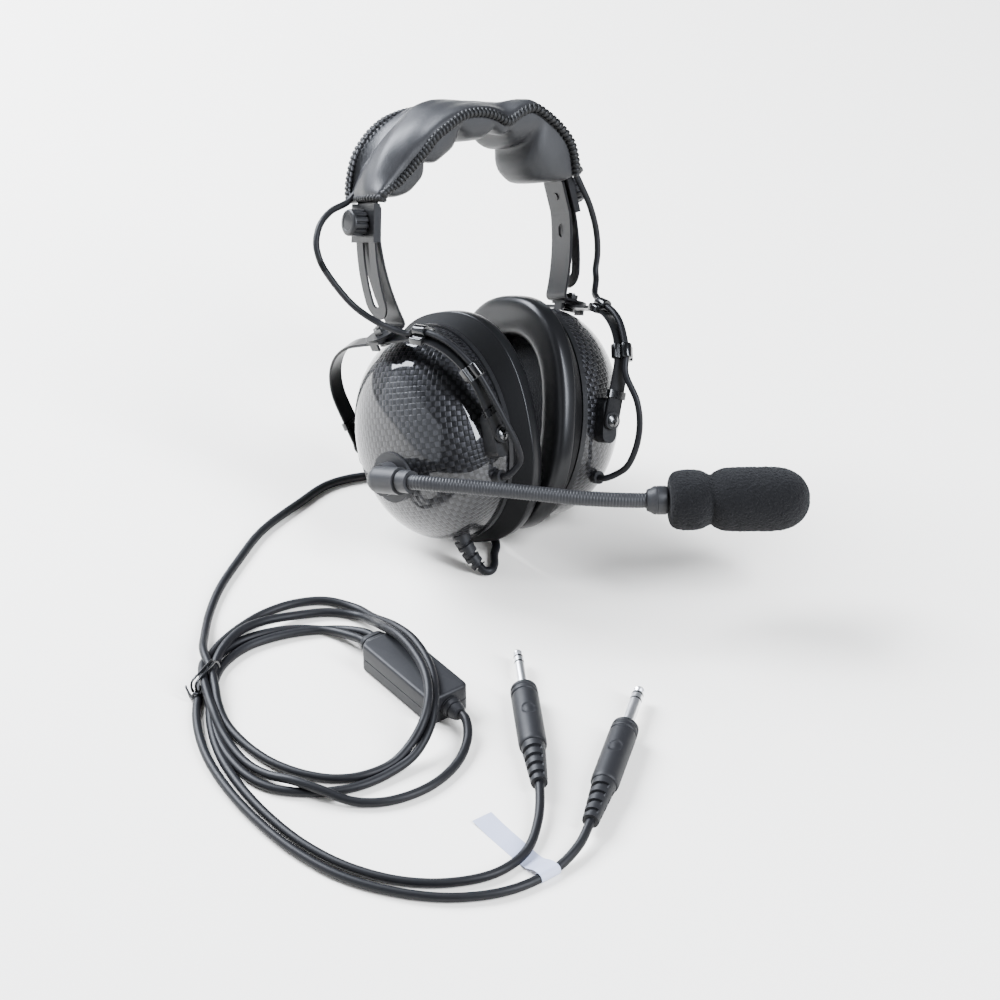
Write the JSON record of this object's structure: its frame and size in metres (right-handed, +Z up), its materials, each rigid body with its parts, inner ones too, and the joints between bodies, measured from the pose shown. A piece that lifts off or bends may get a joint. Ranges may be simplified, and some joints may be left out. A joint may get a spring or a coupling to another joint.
{
  "type": "aviation headset",
  "caption": "Noise-attenuating pilot headset with oval ear cups, laced leather head pad, gooseneck boom microphone and a corded splitter to separate headphone and microphone plugs.",
  "frame": {"origin": "on the surface the headset rests on, below the middle of the headset without its cord", "axes": "+Z up off the surface; the wearer would look along -Y; the microphone cup is at -X"},
  "size_m": [0.3427, 0.3472, 0.2206],
  "materials": {
    "carbon_shell": "black 2 by 2 twill carbon weave under a clear coat",
    "seal_skin": "smooth black polyurethane skin, glossy",
    "cup_foam": "open-cell foam",
    "driver_metal": "satin",
    "pad_leather": "smooth satin black leather with laced edges",
    "black_steel": "satin black powder coat",
    "bright_steel": "zinc plated",
    "screen_foam": "charcoal open-cell foam",
    "boom_black": "satin black",
    "cord_rubber": "satin black",
    "tie_plastic": "black plastic over a wire",
    "plug_metal": "polished brass",
    "pin_ring": "black",
    "tag_white": "white film",
    "gloss_black": "moulded, glossy",
    "black_plastic": "moulded, matte"
  },
  "bodies": {
    "mic_cup": {"mic_dome": "carbon_shell", "mic_baffle": "black_plastic", "mic_ear_seal": "seal_skin", "mic_speaker": "driver_metal", "mic_ear_foam": "cup_foam", "mic_pivot_blocks": "gloss_black", "mic_pivot_screws": "bright_steel", "mic_lead_gland": "cord_rubber", "cord_gland": "cord_rubber", "boom_plate": "boom_black", "main_cord": "cord_rubber", "cord_coil": "cord_rubber", "cord_end": "cord_rubber", "cord_tie": "tie_plastic", "splitter_case": "black_plastic", "splitter_glands": "cord_rubber", "mic_lead": "cord_rubber", "phones_lead": "cord_rubber", "mic_plug_body": "black_plastic", "mic_plug_pin": "plug_metal", "phones_plug_body": "black_plastic", "phones_plug_pin": "plug_metal", "plug_insulators": "pin_ring", "lead_tag": "tag_white"},
    "mic_yoke": {"mic_stirrup": "black_steel", "mic_cable_clips": "gloss_black", "cross_mic_low": "cord_rubber"},
    "mic_arm": {"mic_slider_arm": "black_steel", "mic_limiter": "black_steel", "mic_clamp_plate": "black_steel", "mic_swivel_bolt": "bright_steel", "cross_mic_mid": "cord_rubber"},
    "headband": {"headband_spring": "black_steel", "head_pad_cover": "pad_leather", "head_pad_cushion": "pad_leather", "cross_mic_high": "cord_rubber", "cross_phone_high": "cord_rubber"},
    "phone_arm": {"phone_slider_arm": "black_steel", "phone_limiter": "black_steel", "phone_clamp_plate": "black_steel", "phone_swivel_bolt": "bright_steel", "cross_phone_mid": "cord_rubber"},
    "phone_yoke": {"phone_stirrup": "black_steel", "phone_cable_clips": "gloss_black", "cross_phone_low": "cord_rubber"},
    "phone_cup": {"phone_dome": "carbon_shell", "phone_baffle": "black_plastic", "phone_ear_seal": "seal_skin", "phone_speaker": "driver_metal", "phone_ear_foam": "cup_foam", "phone_pivot_blocks": "gloss_black", "phone_pivot_screws": "bright_steel", "phone_lead_gland": "cord_rubber"},
    "mic_knob": {"mic_knob": "gloss_black"},
    "phone_knob": {"phone_knob": "gloss_black"},
    "boom": {"boom_elbow": "boom_black", "boom_collar": "boom_black", "gooseneck": "boom_black"},
    "mic_head": {"mic_housing": "boom_black", "windscreen": "screen_foam"}
  },
  "joints": [
    {"name": "mic_tilt", "type": "hinge", "parent": "mic_cup", "child": "mic_yoke", "pos_m": [-0.04266, 0.04155, 0.06281], "axis": [0.2048, -0.8789, 0.4308], "range_deg": [-0.3, 10], "deforming": ["cross_mic_low"]},
    {"name": "mic_swivel", "type": "hinge", "parent": "mic_yoke", "child": "mic_arm", "pos_m": [-0.05377, 0.06718, 0.12039], "axis": [-0.1736, 0.4006, 0.8997], "range_deg": [-0.5, 6], "deforming": ["cross_mic_mid"]},
    {"name": "mic_slide", "type": "slide", "parent": "mic_arm", "child": "headband", "axis": [0.3223, 0.385, 0.8648], "range_m": [-0.0005, 0.0115], "deforming": ["cross_mic_high"]},
    {"name": "phone_slide", "type": "slide", "parent": "headband", "child": "phone_arm", "axis": [-0.0209, -0.4066, -0.9133], "range_m": [-0.0005, 0.0115], "deforming": ["cross_phone_high"]},
    {"name": "phone_swivel", "type": "hinge", "parent": "phone_arm", "child": "phone_yoke", "pos_m": [0.06662, 0.05855, 0.101], "axis": [0.5, 0.3522, 0.7912], "range_deg": [-0.5, 12], "deforming": ["cross_phone_mid"]},
    {"name": "phone_tilt", "type": "hinge", "parent": "phone_yoke", "child": "phone_cup", "pos_m": [0.03462, 0.03601, 0.05037], "axis": [0.0302, -0.9201, 0.3905], "range_deg": [-0.3, 10], "deforming": ["cross_phone_low"]},
    {"name": "mic_knob_turn", "type": "hinge", "parent": "mic_arm", "child": "mic_knob", "pos_m": [-0.04523, 0.09038, 0.17249], "axis": [-0.9466, 0.1311, 0.2944], "continuous": true},
    {"name": "phone_knob_turn", "type": "hinge", "parent": "phone_arm", "child": "phone_knob", "pos_m": [0.0781, 0.08153, 0.15262], "axis": [0.9998, -0.0085, -0.0191], "continuous": true},
    {"name": "boom_swivel", "type": "hinge", "parent": "mic_cup", "child": "boom", "pos_m": [-0.07902, 0.03087, 0.05831], "axis": [-0.9686, -0.1185, 0.2185], "range_deg": [-180, 45]},
    {"name": "neck_bend", "type": "hinge", "parent": "boom", "child": "mic_head", "pos_m": [-0.04828, -0.0248, 0.06824], "axis": [-0.141, -0.462, -0.8756], "range_deg": [-30, 35], "deforming": ["gooseneck"]}
  ]
}
